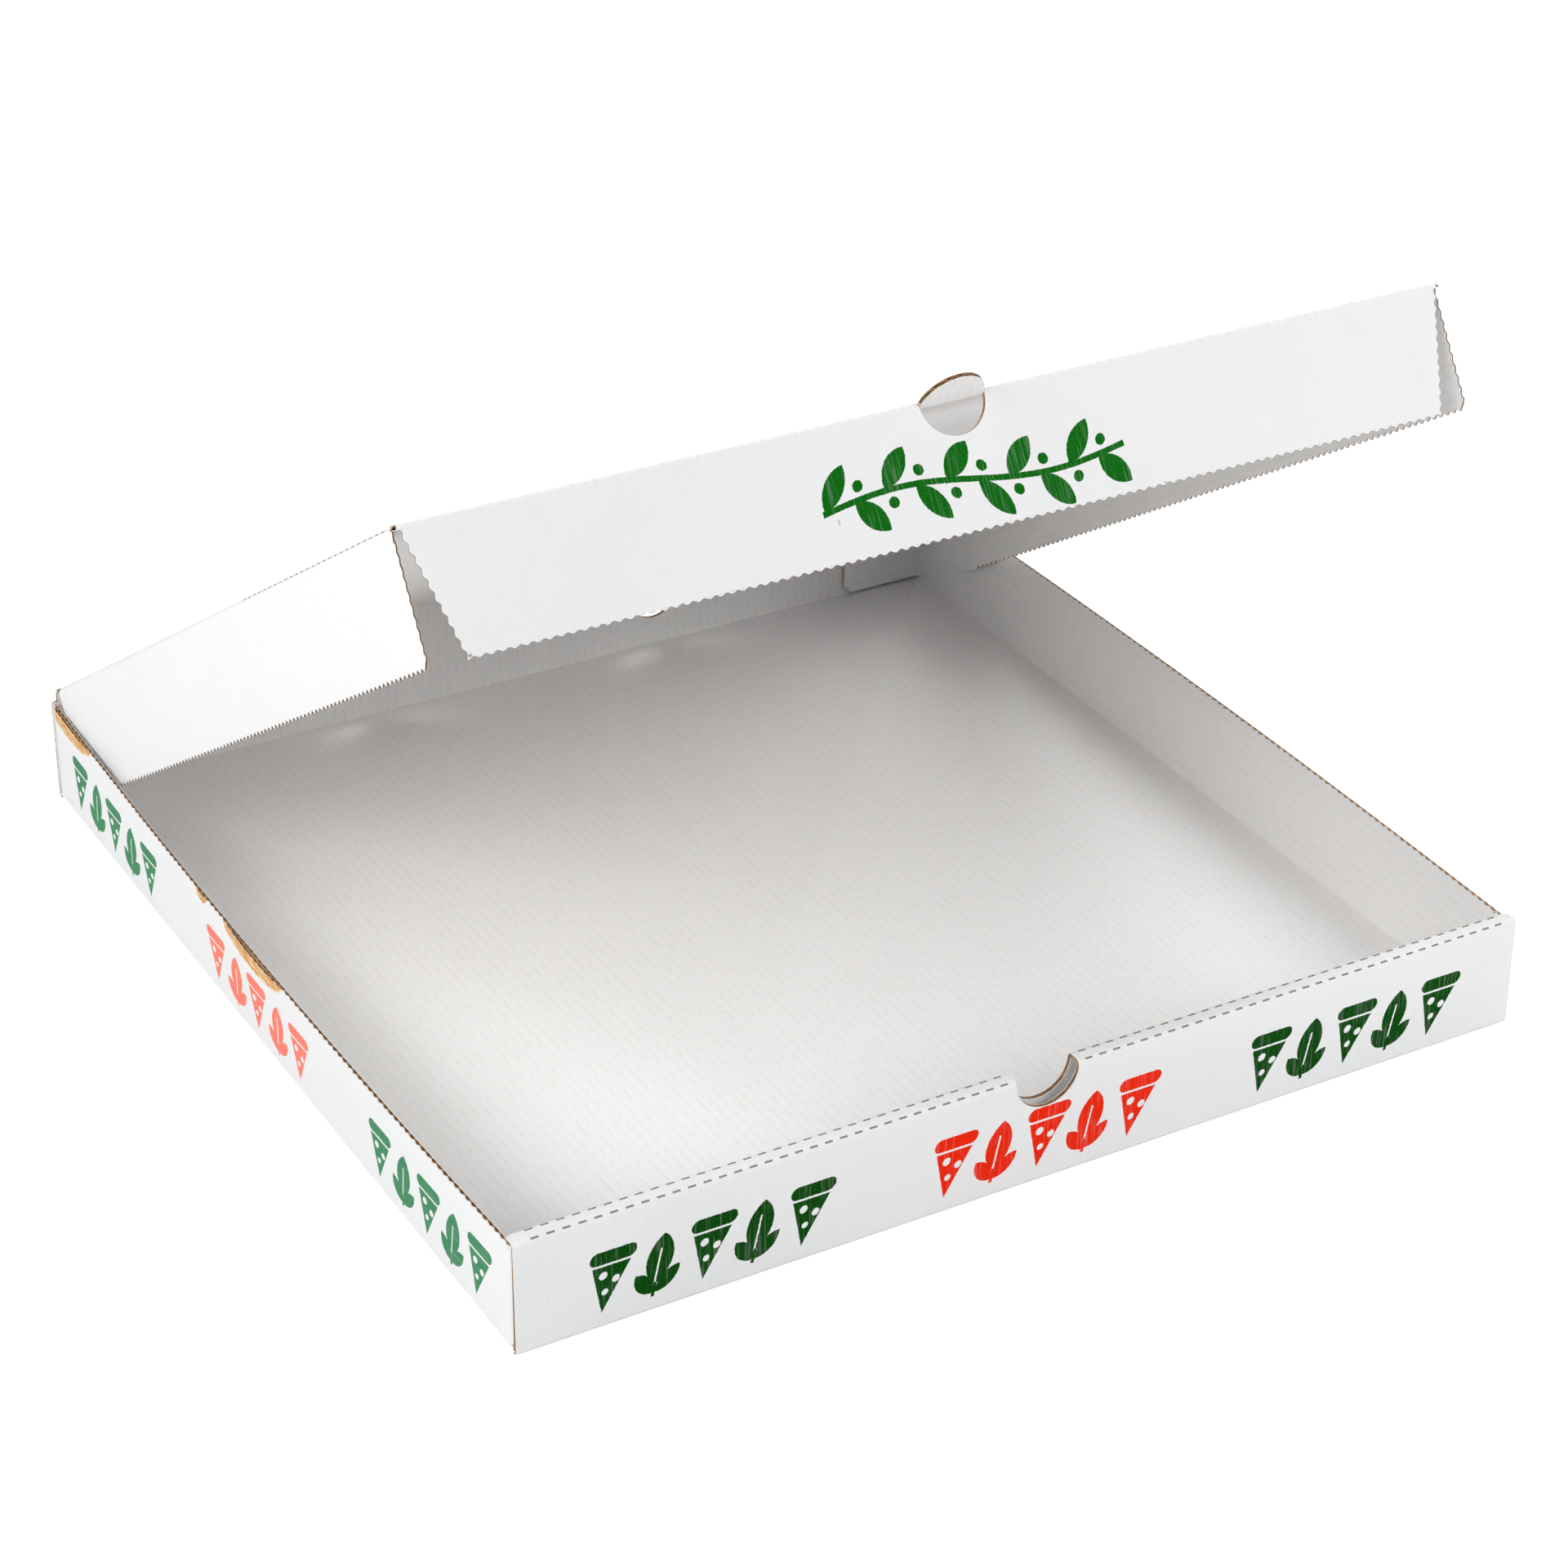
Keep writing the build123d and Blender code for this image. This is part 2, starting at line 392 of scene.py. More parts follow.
def tray_half():
    """The right half of the tray's outline, from the middle of the front to the rear."""
    ply_end, tab_end = inner_ply_a(PLY_FOOT), inner_ply_a(TAB_FOOT)
    front_flap_end = TUCK_FOLD + ARC + HALF_WIDTH - BEND - FRONT_TUCK_END
    rear_flap_end = TUCK_FOLD + ARC + HALF_WIDTH - BEND - REAR_TUCK_END
    wall_end = END_FOLD - RELIEF
    low_in, low_out = side_u(TUCK_LOW - RELIEF), side_u(TUCK_LOW)
    high_in, high_out = side_u(TUCK_HIGH), side_u(TUCK_HIGH + RELIEF)
    top = side_u(SIDE_TOP)
    shoulder = end_a(SHOULDER)
    points = [(TAB_MIDDLE - TAB_HALF, -ply_end), (TAB_MIDDLE - TAB_HALF + TAB_CORNER, -tab_end)]
    points += [(TAB_MIDDLE + TAB_HALF - TAB_CORNER, -tab_end), (TAB_MIDDLE + TAB_HALF, -ply_end)]
    points += [(PLY_HALF, -ply_end), (PLY_HALF, -DROP_FOLD - ARC), (HALF_WIDTH, -DROP_FOLD - ARC)]
    points += [(HALF_WIDTH, -END_FOLD - RELIEF / 2), (SIDE_FOLD, -END_FOLD)]
    points += [(low_in, -wall_end), (low_in, -TUCK_FOLD), (low_out, -TUCK_FOLD)]
    points += [(low_out, -front_flap_end + TUCK_CORNER), (low_out + TUCK_CORNER, -front_flap_end)]
    points += [(high_in - TUCK_CORNER, -front_flap_end), (high_in, -front_flap_end + TUCK_CORNER)]
    points += [(high_in, -TUCK_FOLD), (high_out, -TUCK_FOLD), (high_out, -wall_end), (top, -wall_end)]
    points += wavy((top, -wall_end), (top, wall_end), SIDE_WAVE_DEPTH)
    points += [(top, wall_end), (high_out, wall_end), (high_out, TUCK_FOLD), (high_in, TUCK_FOLD)]
    points += [(high_in, rear_flap_end - TUCK_CORNER), (high_in - TUCK_CORNER, rear_flap_end)]
    points += [(low_out + TUCK_CORNER, rear_flap_end), (low_out, rear_flap_end - TUCK_CORNER)]
    points += [(low_out, TUCK_FOLD), (low_in, TUCK_FOLD), (low_in, wall_end)]
    points += [(SIDE_FOLD, END_FOLD), (HALF_WIDTH, END_FOLD + RELIEF / 2), (HALF_WIDTH, shoulder)]
    points += [(HALF_LID, shoulder), (HALF_LID, end_a(HINGE_Z))]
    return points


tray_outline = tray_half() + mirrored(tray_half())
print("Tray outline:", len(tray_outline), "points")

# %% [markdown]
# ## Holes and dents
#
# The thumb notch goes through both plies of the front wall, so on the flat
# sheet it is one long hole with round ends. The rear wall has two round vents
# and the floor two slots for the tabs. The top creases of the front wall are
# marked by two rows of short dents, pressed into the outer liner only.

# %% Tray holes and dents
NOTCH_RADIUS = 10.5
NOTCH_DROP = 1.0
NOTCH_STEPS = 24
VENT_RADIUS, VENT_X, VENT_Z = 9.0, 55.5, 20.5
VENT_STEPS = 48
SLOT_FRONT, SLOT_BACK = -166.2, -164.3
PERF_PITCH, PERF_LENGTH, PERF_WIDTH = 4.7, 2.4, 0.36
TOP_PERF_WIDTH = 0.55
PERF_CLEAR = 2
ROLL_ROW, DROP_ROW = 0.6, 0.05


def rectangle(u_low, u_high, v_low, v_high):
    return [(u_low, v_low), (u_high, v_low), (u_high, v_high), (u_low, v_high)]


def oblong(u, v_low, v_high, radius):
    low_end = arc((u, v_low), radius, 180, 360, NOTCH_STEPS)
    high_end = arc((u, v_high), radius, 0, 180, NOTCH_STEPS)
    return low_end + high_end


notch_low = -inner_ply_a(FRONT_TOP - NOTCH_DROP)
notch_high = -end_a(FRONT_TOP - NOTCH_DROP)
tray_holes = [oblong(0, notch_low, notch_high, NOTCH_RADIUS)]
for side in (-1, 1):
    vent_middle = (side * VENT_X, end_a(VENT_Z))
    tray_holes.append(arc(vent_middle, VENT_RADIUS, 0, 360 - 360 / VENT_STEPS, VENT_STEPS - 1))
    slot_low, slot_high = side * TAB_MIDDLE - TAB_HALF - GAP, side * TAB_MIDDLE + TAB_HALF + GAP
    tray_holes.append(rectangle(slot_low, slot_high, SLOT_FRONT, SLOT_BACK))


def perforation(v, width):
    """A row of dashes across the front wall, with none at the notch or the ends."""
    dashes = []
    on_each_side = round(HALF_WIDTH / PERF_PITCH)
    for n in range(-on_each_side, on_each_side + 1):
        u = n * PERF_PITCH
        if NOTCH_RADIUS + PERF_CLEAR < abs(u) < HALF_WIDTH - PERF_CLEAR:
            low, high = u - PERF_LENGTH / 2, u + PERF_LENGTH / 2
            dashes.append(rectangle(low, high, v - width / 2, v + width / 2))
    return dashes


tray_scores = perforation(-ROLL_FOLD - ARC * ROLL_ROW, PERF_WIDTH)
tray_scores += perforation(-DROP_FOLD - ARC * DROP_ROW, TOP_PERF_WIDTH)
print("Dents in the two rows:", len(tray_scores))

# %% [markdown]
# ## Where the liner is torn
#
# Two strips of white paper are peeled off the top of the left wall, with a
# small nick between them. Most of each strip is only skinned, so the brown
# ply of the liner shows, and that is a colour in the wall's finish. Along the
# very edge the liner is torn right through, and that is cut here: a strip
# with a ragged outline, through the outer liner and no deeper.

# %% Torn liner
PEELED = [(-6.0, 38.0, 5.6), (130.0, 139.0, 3.2), (152.0, 195.0, 6.4)]
TEAR_SHARE = 0.28
TEAR_STEP = 0.7
LEAST_REACH, PAST_EDGE = 0.15, 1.5
RAGGED_SHARE = 0.28


def ragged(n, seed):
    slow, fast = Vector((n * 0.45, seed, 0.0)), Vector((n * 1.3, seed, 5.0))
    return noise.noise(slow) + 0.5 * noise.noise(fast)


def tear(rear_start, rear_end, depth, seed):
    """A ragged strip at the top of the left wall, between two distances from the rear."""
    top = side_u(SIDE_TOP)
    length = rear_end - rear_start
    steps = max(8, round(length / TEAR_STEP))
    points = [(-top - PAST_EDGE, BACK - rear_start), (-top - PAST_EDGE, BACK - rear_end)]
    for n in range(steps + 1):
        share = n / steps
        round_ended = math.sin(math.pi * min(max(share, 0.03), 0.97)) ** 0.6
        reach = depth * (round_ended + RAGGED_SHARE * ragged(n, seed))
        points.append((-top + max(reach, LEAST_REACH), BACK - rear_end + length * share))
    return points


tray_tears = [tear(start, end, depth * TEAR_SHARE, seed) for seed, (start, end, depth) in enumerate(PEELED)]
print("Torn places, mm from the rear:", [place[:2] for place in PEELED])

# %% [markdown]
# ## From flat sheet to finished mesh
#
# Each face gets its finish while the sheet is still flat, when it is plain
# which side it is on. The flat place of every corner is kept as a UV map named
# "blank", so print and flutes can be laid out on the flat sheet and follow
# every fold. Then the points are folded.

# %% Folding a cut sheet
PLAIN_FINISHES = ["white_outside", "white_inside", "kraft", "cut_edge", "score"]
OUTSIDE, INSIDE, KRAFT, CUT_EDGE, SCORE = range(5)
ON_LAYER = 1e-3
ROD_SIDES, ROD_RADIUS = 20, 0.78
SHARP_ANGLE = math.radians(35)
finishes = {}


def side_of(face):
    """Which plain finish a face of the flat sheet wears."""
    low, high = extent(face, 2)
    if high < ON_LAYER:
        return OUTSIDE
    if high < SCORE_DEPTH + ON_LAYER:
        return SCORE
    if low > BOARD - ON_LAYER:
        return INSIDE
    in_a_liner = high < LINER + ON_LAYER or low > BOARD - LINER - ON_LAYER
    upright = abs(face.normal.z) < 0.5
    return CUT_EDGE if in_a_liner and upright else KRAFT


def fold_up(name, flat, fold, printed=(), torn_over=lambda u, v: False):
    """Gives a cut sheet its finishes and folds it.

    printed holds (finish, region) for the printed parts of the outside, and torn_over is
    the region where the white paper is drawn over the brown of the cut edge.
    """
    blank = flat.loops.layers.uv.new("blank")
    flat.normal_update()
    for face in flat.faces:
        face.material_index = side_of(face)
        face.smooth = True
        middle = face.calc_center_median()
        if face.material_index == KRAFT and torn_over(middle.x, middle.y):
            face.material_index = CUT_EDGE
        for number, (finish, region) in enumerate(printed):
            if face.material_index == OUTSIDE and region(middle.x, middle.y):
                face.material_index = len(PLAIN_FINISHES) + number
        for loop in face.loops:
            loop[blank].uv = (loop.vert.co.x * MM, loop.vert.co.y * MM)
    for vert in flat.verts:
        vert.co = fold(vert.co)
    finishes[name] = PLAIN_FINISHES + [finish for finish, region in printed]
    bmesh.ops.recalc_face_normals(flat, faces=flat.faces)
    return flat


def add_crease_rod(mesh, x_low, x_high, y, z, radius, turn):
    """The rounded board at a fold that opens: a closed rod round the fold line."""
    blank = mesh.loops.layers.uv["blank"]
    rings = []
    for x in (x_low, x_high):
        ring = []
        for n in range(ROD_SIDES):
            t = 2 * math.pi * n / ROD_SIDES
            ring.append(mesh.verts.new(turn((x, y + radius * math.cos(t), z + radius * math.sin(t)))))
        rings.append(ring)
    faces = [mesh.faces.new(rings[0]), mesh.faces.new(reversed(rings[1]))]
    for n in range(ROD_SIDES):
        m = (n + 1) % ROD_SIDES
        faces.append(mesh.faces.new((rings[0][n], rings[1][n], rings[1][m], rings[0][m])))
    bmesh.ops.recalc_face_normals(mesh, faces=faces)
    for face in faces:
        face.smooth = True
        face.material_index = INSIDE
        for loop in face.loops:
            loop[blank].uv = (loop.vert.co.x, y * MM)


def as_piece(name, mesh):
    open_edges = sum(not edge.is_manifold for edge in mesh.edges)
    piece = mesh_object(name, mesh)
    piece.data.set_sharp_from_angle(angle=SHARP_ANGLE)
    triangles = sum(len(face.vertices) - 2 for face in piece.data.polygons)
    print(name, "-", triangles, "triangles,", open_edges, "open edges")
    return piece


# %% [markdown]
# ## The tray, folded
#
# The corner flaps turn in first, then the front wall rolls over, and the walls
# come up last. A function takes each point of the flat sheet through the folds
# that it has part in, which is exact and leaves nothing to line up by eye. The
# side walls of a used box bow outward, so they do here too. Their top edge is
# bitten by the blade in small waves, which lets the brown fluting show in
# dashes.

# %% Cut and fold the tray
TRIM = 2
HAIR, PAST_WALL, CORNER_BAND = 0.01, 0.2, 0.5
BITE_SHARE, BITE_SWING = 0.62, 0.33
BOW_LINES = (7, 12, 17, 22, 27)


def fold_tray(point):
    """Where a point of the flat tray comes to lie, in metres."""
    u, v, h = point
    a, side = abs(v), math.copysign(1, u)
    if abs(u) > SIDE_FOLD and a < END_FOLD - RELIEF / 4 or abs(u) > HALF_WIDTH + PAST_WALL:
        if a > TUCK_FOLD and side_u(TUCK_LOW) - HAIR < abs(u) < side_u(TUCK_HIGH) + HAIR:
            a, h = bend(a, h, TUCK_FOLD)
        else:
            bitten = BITE_SHARE - BITE_SWING * math.cos(2 * math.pi * v / WAVE_PITCH)
            h = crushed(h, side_u(SIDE_TOP) - abs(u), bitten)
        x, z = bend(abs(u), h, SIDE_FOLD)
        x += SIDE_BOW * z / SIDE_TOP * max(0.0, 1 - (a / SIDE_BACK) ** 2)
        return side * x * MM, math.copysign(a, v) * MM, z * MM
    if a > END_FOLD + ARC:
        h = crushed(h, HALF_WIDTH - abs(u))
    if v < 0:
        a, h = bend(a, h, DROP_FOLD)
        a, h = bend(a, h, ROLL_FOLD)
    a, h = bend(a, h, END_FOLD, rolled_over=v < -ROLL_FOLD - ARC)
    return u * MM, math.copysign(a, v) * MM, h * MM


def on_side(u, v):
    return abs(u) > SIDE_FOLD


def rear_corner(u, v):
    return abs(u) > HALF_WIDTH - CORNER_BAND and v > END_FOLD


def in_metres(point):
    return tuple(x * MM for x in point)


tray_sheet = board_sheet(side_u(SIDE_TOP) + TRIM, -inner_ply_a(0) - TRIM, end_a(HINGE_Z) + TRIM)
tray_flat = die_cut("tray", tray_sheet, tray_outline, tray_holes, tray_scores, tray_tears)
split_along(tray_flat, 0, [side * x for side in (-1, 1) for x in fold_lines(SIDE_FOLD)])
front_lines = [-v for v in fold_lines(END_FOLD, ROLL_FOLD, DROP_FOLD)]
split_along(tray_flat, 1, front_lines + fold_lines(END_FOLD))
split_along(tray_flat, 1, [side * v for side in (-1, 1) for v in fold_lines(TUCK_FOLD)], on_side)
split_along(tray_flat, 1, range(-160, 161, 10), on_side)
up_the_wall = [side * side_u(z) for side in (-1, 1) for z in (*BOW_LINES, SIDE_TOP - CRUSH_REACH)]
split_along(tray_flat, 0, up_the_wall, lambda u, v: abs(v) < TUCK_FOLD)
wall_ends = [side * (HALF_WIDTH - CRUSH_REACH) for side in (-1, 1)]
split_along(tray_flat, 0, wall_ends, lambda u, v: abs(v) > END_FOLD)
tray_print = [
    ("printed_front_wall", lambda u, v: -ROLL_FOLD < v < -END_FOLD - ARC),
    ("printed_left_wall", lambda u, v: u < -SIDE_FOLD - ARC and abs(v) < TUCK_FOLD),
    ("printed_right_wall", lambda u, v: u > SIDE_FOLD + ARC and abs(v) < TUCK_FOLD),
]
tray_mesh = fold_up("tray_board", tray_flat, fold_tray, tray_print, rear_corner)
add_crease_rod(tray_mesh, -HALF_LID, HALF_LID, HINGE_Y, HINGE_Z, ROD_RADIUS, in_metres)
tray_board = as_piece("tray_board", tray_mesh)

# %% [markdown]
# ## The lid
#
# The lid is drawn closed: u across, v from front to rear, with a side flap
# beyond each long fold. Its side flaps are wave-cut along the front and lower
# edges, and rounded at the rear so that they slip into the tray. The thumb
# tongue springs up a little from the crease. Then the whole lid turns about
# the hinge to where the photographed box has it.

# %% Lid outline, cut and fold
LID_FOLD = HALF_LID - BEND
FLAP_DROP = CLOSED_TOP - FLAP_BOTTOM
NOSE, FLAP_ROUND = 3.0, 25.0
LID_WAVE_DEPTH = 1.0
TONGUE_RADIUS = 10.0
TONGUE_START = -84
TONGUE_LIFT = math.radians(28)
TONGUE_ROD = BOARD / 2 - 0.02
ROD_GAP = 0.6
TONGUE_STEPS, ROUND_STEPS = 14, 16
FIRST_SCORE, SCORE_COUNT, SCORE_SHARE = 5, 26, 0.45


def lid_u(drop):
    """How far out on the flat sheet a point of a side flap lies, by how far below the lid it hangs."""
    return LID_FOLD + ARC + drop - BEND


def opened(point):
    """Turns a point of the closed lid to where it stands open, in metres."""
    x, y, z = point
    along, below = HINGE_Y - y, HINGE_Z - z
    y = HINGE_Y - along * math.cos(OPEN_ANGLE) - below * math.sin(OPEN_ANGLE)
    z = HINGE_Z + along * math.sin(OPEN_ANGLE) - below * math.cos(OPEN_ANGLE)
    return x * MM, y * MM, z * MM


def lid_half():
    """The right half of the lid's outline, from the thumb tongue to the hinge."""
    low = lid_u(FLAP_DROP)
    points = arc((0, CREASE_Y), TONGUE_RADIUS, TONGUE_START, 0, TONGUE_STEPS)
    points += [(HALF_LID, CREASE_Y), (HALF_LID, SIDE_FLAP_FRONT - RELIEF)]
    points += [(LID_FOLD, SIDE_FLAP_FRONT - RELIEF / 2), (lid_u(BEND), SIDE_FLAP_FRONT)]
    points += wavy((lid_u(BEND), SIDE_FLAP_FRONT), (lid_u(FLAP_DROP - NOSE), SIDE_FLAP_FRONT), WAVE_DEPTH)
    points += [(lid_u(FLAP_DROP - NOSE), SIDE_FLAP_FRONT), (low, SIDE_FLAP_FRONT + NOSE)]
    points += wavy((low, SIDE_FLAP_FRONT + NOSE), (low, SIDE_FLAP_BACK - FLAP_ROUND), LID_WAVE_DEPTH)
    points += arc((low - FLAP_ROUND, SIDE_FLAP_BACK - FLAP_ROUND), FLAP_ROUND, 0, 90, ROUND_STEPS)
    points += [(lid_u(BEND), SIDE_FLAP_BACK), (LID_FOLD, SIDE_FLAP_BACK + RELIEF / 2)]
    points += [(HALF_LID, SIDE_FLAP_BACK + RELIEF), (HALF_LID, HINGE_Y)]
    return points


def fold_lid(point):
    """Where a point of the flat lid comes to lie, in metres."""
    u, v, h = point
    if abs(u) > LID_FOLD and SIDE_FLAP_FRONT - RELIEF / 4 < v < SIDE_FLAP_BACK + RELIEF / 4:
        if abs(u) > lid_u(BEND):
            h = crushed(h, min(lid_u(FLAP_DROP) - abs(u), v - SIDE_FLAP_FRONT))
        a, h = bend(abs(u), h, LID_FOLD)
        u = math.copysign(a, u)
    if v < CREASE_Y:
        out, over = CREASE_Y - v, BOARD / 2 - h
        v = CREASE_Y - out * math.cos(TONGUE_LIFT) + over * math.sin(TONGUE_LIFT)
        h = BOARD / 2 - out * math.sin(TONGUE_LIFT) - over * math.cos(TONGUE_LIFT)
    return opened((u, v, CLOSED_TOP - h))


lid_sheet = board_sheet(lid_u(FLAP_DROP) + TRIM, CREASE_Y - TONGUE_RADIUS - TRIM, HINGE_Y + TRIM)
lid_scores = []
for n in range(SCORE_COUNT):
    v = SIDE_FLAP_FRONT + FIRST_SCORE + PERF_PITCH * n
    for side in (-1, 1):
        u = side * (LID_FOLD + ARC * SCORE_SHARE)
        lid_scores.append(rectangle(u - PERF_WIDTH / 2, u + PERF_WIDTH / 2, v, v + PERF_LENGTH))
lid_flat = die_cut("lid", lid_sheet, lid_half() + mirrored(lid_half()), scores=lid_scores)
across_lid = fold_lines(LID_FOLD) + [lid_u(FLAP_DROP) - CRUSH_REACH]
split_along(lid_flat, 0, [side * x for side in (-1, 1) for x in across_lid])
split_along(lid_flat, 1, [CREASE_Y])
split_along(lid_flat, 1, [SIDE_FLAP_FRONT + CRUSH_REACH, *range(-130, 141, 30)])
lid_mesh = fold_up("lid_board", lid_flat, fold_lid)
beside_tongue = TONGUE_RADIUS + ROD_GAP
for low, high, radius in (
    (-FLAP_TOP_HALF, -beside_tongue, ROD_RADIUS),
    (beside_tongue, FLAP_TOP_HALF, ROD_RADIUS),
    (-TONGUE_RADIUS, TONGUE_RADIUS, TONGUE_ROD),
):
    add_crease_rod(lid_mesh, low, high, CREASE_Y, HINGE_Z, radius, opened)
lid_board = as_piece("lid_board", lid_mesh)

# %% [markdown]
# ## The front flap
#
# The front flap hangs from the lid's front crease. Its ends slant, its ends
# and lower edge are wave-cut, and the thumb tongue was cut out of it, which
# leaves a half-round hole.

# %% Front flap
TONGUE_HOLE, HOLE_STEPS = 10.3, 32
END_TRIM = 3
FLAP_LINES = (11.5, 23)
FLAP_REACH = HINGE_Z - FLAP_BOTTOM
END_SLANT = (FLAP_TOP_HALF - FLAP_FOOT_HALF) / FLAP_REACH


def flap_outline():
    """The front flap's outline, laid flat in front of the lid."""
    foot, top = CREASE_Y - FLAP_REACH, CREASE_Y
    left_foot, right_foot = (-FLAP_FOOT_HALF, foot), (FLAP_FOOT_HALF, foot)
    left_top, right_top = (-FLAP_TOP_HALF, top), (FLAP_TOP_HALF, top)
    points = [left_foot, *wavy(left_foot, right_foot, WAVE_DEPTH), right_foot]
    points += [*wavy(right_foot, right_top, WAVE_DEPTH), right_top]
    points += arc((0, top), TONGUE_HOLE, 360, 180, HOLE_STEPS)
    points += [left_top, *wavy(left_top, left_foot, WAVE_DEPTH)]
    return points


def fold_front_flap(point):
    """Where a point of the flat front flap comes to hang, in metres."""
    u, v, h = point
    down = CREASE_Y - v
    end = FLAP_TOP_HALF - END_SLANT * down
    h = crushed(h, min(end - abs(u), FLAP_REACH - down))
    return opened((u, CREASE_Y - BOARD / 2 + h, HINGE_Z - down))


flap_sheet = board_sheet(FLAP_TOP_HALF + END_TRIM, CREASE_Y - FLAP_REACH - TRIM, CREASE_Y + TRIM)
flap_flat = die_cut("front flap", flap_sheet, flap_outline())
split_along(flap_flat, 0, range(-150, 151, 30))
split_along(flap_flat, 1, [CREASE_Y - down for down in (*FLAP_LINES, FLAP_REACH - CRUSH_REACH)])
for side in (-1, 1):
    everything = flap_flat.verts[:] + flap_flat.edges[:] + flap_flat.faces[:]
    start = Vector((side * (FLAP_TOP_HALF - CRUSH_REACH), CREASE_Y, 0))
    across = Vector((side, -END_SLANT, 0))
    bmesh.ops.bisect_plane(flap_flat, geom=everything, dist=ON_LINE, plane_co=start, plane_no=across)
flap_print = [("printed_front_flap", lambda u, v: True)]
flap_mesh = fold_up("front_flap_board", flap_flat, fold_front_flap, flap_print)
front_flap_board = as_piece("front_flap_board", flap_mesh)

# %% [markdown]
# ## Sums in shader nodes
#
# Print, flutes and wear are all sums on the flat place of a point. Writing
# them as Math nodes one by one hides the idea, so this small class lets a node
# socket be added and multiplied like a number, and each sum makes its node.

# %% A number made by nodes


class Field:
    """A node socket that can be added and multiplied like a number."""

    def __init__(self, tree, socket):
        self.tree, self.socket = tree, socket

    def math(self, operation, *others):
        node = self.tree.nodes.new("ShaderNodeMath")
        node.operation = operation
        for place, value in enumerate((self, *others)):
            if isinstance(value, Field):
                self.tree.links.new(value.socket, node.inputs[place])
            else:
                node.inputs[place].default_value = value
        return Field(self.tree, node.outputs[0])

    def __add__(self, other):
        return self.math("ADD", other)

    def __sub__(self, other):
        return self.math("SUBTRACT", other)

    def __mul__(self, other):
        return self.math("MULTIPLY", other)

    def __abs__(self):
        return self.math("ABSOLUTE")

    def low(self, other):
        return self.math("MINIMUM", other)

    def high(self, other):
        return self.math("MAXIMUM", other)

    def power(self, other):
        return self.math("POWER", other)

    def length(self, other):
        return (self * self + other * other).math("SQRT")

    def fade(self, start, end, first=0.0, last=1.0):
        """Runs smoothly from first at start to last at end."""
        node = self.tree.nodes.new("ShaderNodeMapRange")
        node.interpolation_type = "SMOOTHSTEP"
        self.tree.links.new(self.socket, node.inputs["Value"])
        for name, value in zip(("From Min", "From Max", "To Min", "To Max"), (start, end, first, last)):
            node.inputs[name].default_value = value
        return Field(self.tree, node.outputs["Result"])


def new_group(name, inputs, outputs):
    """An empty node group: (the group, its inputs as fields, and a function that sets an output)."""
    group = bpy.data.node_groups.new(name, "ShaderNodeTree")
    for label, kind in inputs.items():
        group.interface.new_socket(label, in_out="INPUT", socket_type="NodeSocket" + kind)
    for label in outputs:
        group.interface.new_socket(label, in_out="OUTPUT", socket_type="NodeSocketFloat")
    given, result = group.nodes.new("NodeGroupInput"), group.nodes.new("NodeGroupOutput")
    fields = {label: Field(group, given.outputs[label]) for label in inputs}
    return group, fields, lambda label, field: group.links.new(field.socket, result.inputs[label])


def u_and_v(vector):
    """The flat place in millimetres, as two fields."""
    split = vector.tree.nodes.new("ShaderNodeSeparateXYZ")
    vector.tree.links.new(vector.socket, split.inputs[0])
    return Field(vector.tree, split.outputs[0]) * 1000.0, Field(vector.tree, split.outputs[1]) * 1000.0


def noise_at(first, second, layer, detail=2.0):
    """Soft noise over two fields, drawn out along the one that changes more slowly. Each layer differs."""
    tree = first.tree
    join = tree.nodes.new("ShaderNodeCombineXYZ")
    tree.links.new(first.socket, join.inputs[0])
    tree.links.new(second.socket, join.inputs[1])
    join.inputs[2].default_value = layer
    texture = tree.nodes.new("ShaderNodeTexNoise")
    texture.inputs["Scale"].default_value = 1.0
    texture.inputs["Detail"].default_value = detail
    tree.links.new(join.outputs[0], texture.inputs["Vector"])
    return Field(tree, texture.outputs["Fac"])


print("Node sums are ready")

# %% [markdown]
# ## Shared effects
#
# Thin liner shows the flutes under it as a faint washboard. Broken grey lines
# are painted where the paper dips between two waves: painted shade in the dips.
# Paper itself is cloudy and has fine fibres. Ink rubs on along the flutes: it
# is starved in streaks and a little ragged at its edge. Each effect is a group,
# so that every material can use it at its own strength. The factors on u and v
# say how many patches of noise go to a millimetre, and a small one draws the patches out.

# %% Effect groups
# The second output is painted shade: broken grey lines in the dips between two waves.
flutes, given, put = new_group("flute_washboard_and_dip_shade", {"Blank": "Vector"}, ["Washboard", "Lines"])
u, v = u_and_v(given["Blank"])
wave = (u * (2 * math.pi / FLUTE_PITCH)).math("COSINE") * 0.5 + 0.5
broken = noise_at(u * 1.1, v * 0.28, 3.0, detail=1.0).fade(0.38, 0.60)
half_wave = (u * (4 * math.pi / FLUTE_PITCH) + 0.9).math("COSINE") * 0.5 + 0.5
main_dip_shade = wave.fade(0.22, 0.0) * broken
faint_dip_shade = half_wave.fade(0.08, 0.0) * broken * 0.45
put("Washboard", wave)
put("Lines", main_dip_shade.high(faint_dip_shade))

paper, given, put = new_group("paper", {"Blank": "Vector"}, ["Clouds", "Grain"])
u, v = u_and_v(given["Blank"])
put("Clouds", noise_at(u * 0.03, v * 0.02, 1.0))
put("Grain", noise_at(u * 2.4, v * 1.5, 2.0))

